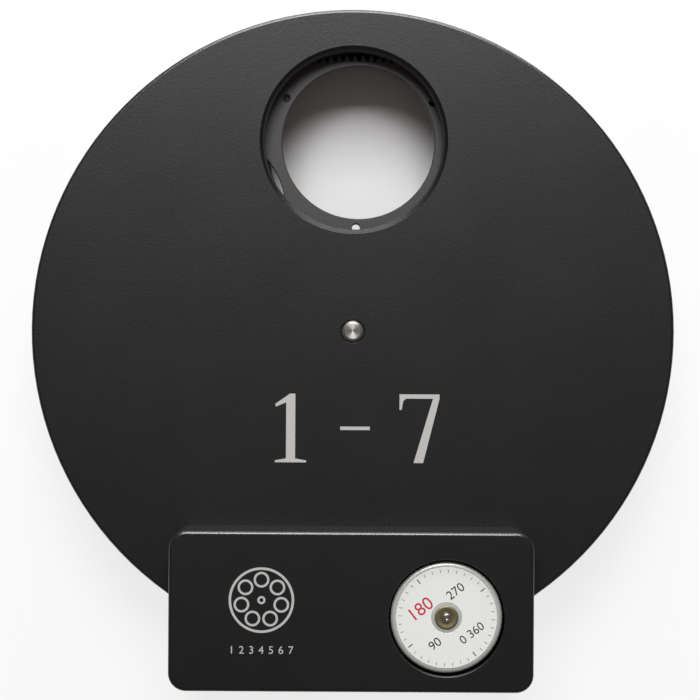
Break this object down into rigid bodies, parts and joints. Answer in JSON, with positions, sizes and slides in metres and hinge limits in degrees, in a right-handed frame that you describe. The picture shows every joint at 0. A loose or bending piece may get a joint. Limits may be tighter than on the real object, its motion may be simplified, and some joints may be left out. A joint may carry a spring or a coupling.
{
  "type": "optical filter wheel",
  "caption": "Motorised filter wheel: a flat round housing with a threaded light port, a toothed filter carousel inside and a raised motor box.",
  "frame": {"origin": "on the carousel's axis, in the plane of the rear (camera side) face", "axes": "+Z along the light path towards the telescope side, +Y from the carousel's axis to the light port, motor box towards -Y"},
  "size_m": [0.148, 0.1547, 0.0315],
  "materials": {
    "black_anodised": "bead-blasted, black anodised",
    "carousel_anodised": "milled, matt black anodised",
    "screw_steel": "blackened alloy steel",
    "axle_steel": "turned stainless steel",
    "spring_steel": "hardened strip",
    "bronze": "sintered, oil filled",
    "magnet_nickel": "nickel plated",
    "motor_steel": "zinc plated deep-drawn steel",
    "label_film": "printed foil label",
    "coil_copper": "enamelled wire",
    "ferrite": "sintered",
    "pinion_brass": "hobbed",
    "lead_pvc": "extruded",
    "connector_nylon": "moulded",
    "board_fr4": "solder mask",
    "chip_epoxy": "moulded",
    "usb_steel": "tinned",
    "usb_insulator": "moulded"
  },
  "bodies": {
    "housing": {"front_housing": "black_anodised", "back_cover": "black_anodised", "motor_cover": "black_anodised", "cover_screws": "screw_steel", "motor_cover_screws": "screw_steel", "axle": "axle_steel", "slip_washer": "axle_steel", "spring_washer": "spring_steel", "retaining_washer": "axle_steel", "axle_screw": "screw_steel", "motor_plate": "motor_steel", "motor_can": "motor_steel", "motor_rear_bush": "bronze", "motor_front_bush": "bronze", "motor_label": "label_film", "motor_coils": "coil_copper", "motor_screws": "axle_steel", "circuit_board": "board_fr4", "board_screws": "axle_steel", "controller_chip": "chip_epoxy", "driver_chip": "chip_epoxy", "lead_connector": "connector_nylon", "position_sensor": "chip_epoxy", "motor_leads": "lead_pvc", "usb_shell": "usb_steel", "usb_tongue": "usb_insulator"},
    "carousel": {"carousel": "carousel_anodised", "front_bush": "bronze", "rear_bush": "bronze", "home_magnet": "magnet_nickel"},
    "rotor": {"motor_shaft": "axle_steel", "rotor_magnet": "ferrite", "pinion": "pinion_brass"}
  },
  "joints": [
    {"name": "carousel_spin", "type": "hinge", "parent": "housing", "child": "carousel", "pos_m": [0, 0, 0.0125], "axis": [0, 0, 1], "continuous": true},
    {"name": "motor_spin", "type": "hinge", "parent": "housing", "child": "rotor", "pos_m": [0.02131, -0.06405, 0.0125], "axis": [0, 0, 1], "continuous": true}
  ],
  "couplings": [
    {"joint": "motor_spin", "follows": "carousel_spin", "ratio": -17.75}
  ]
}
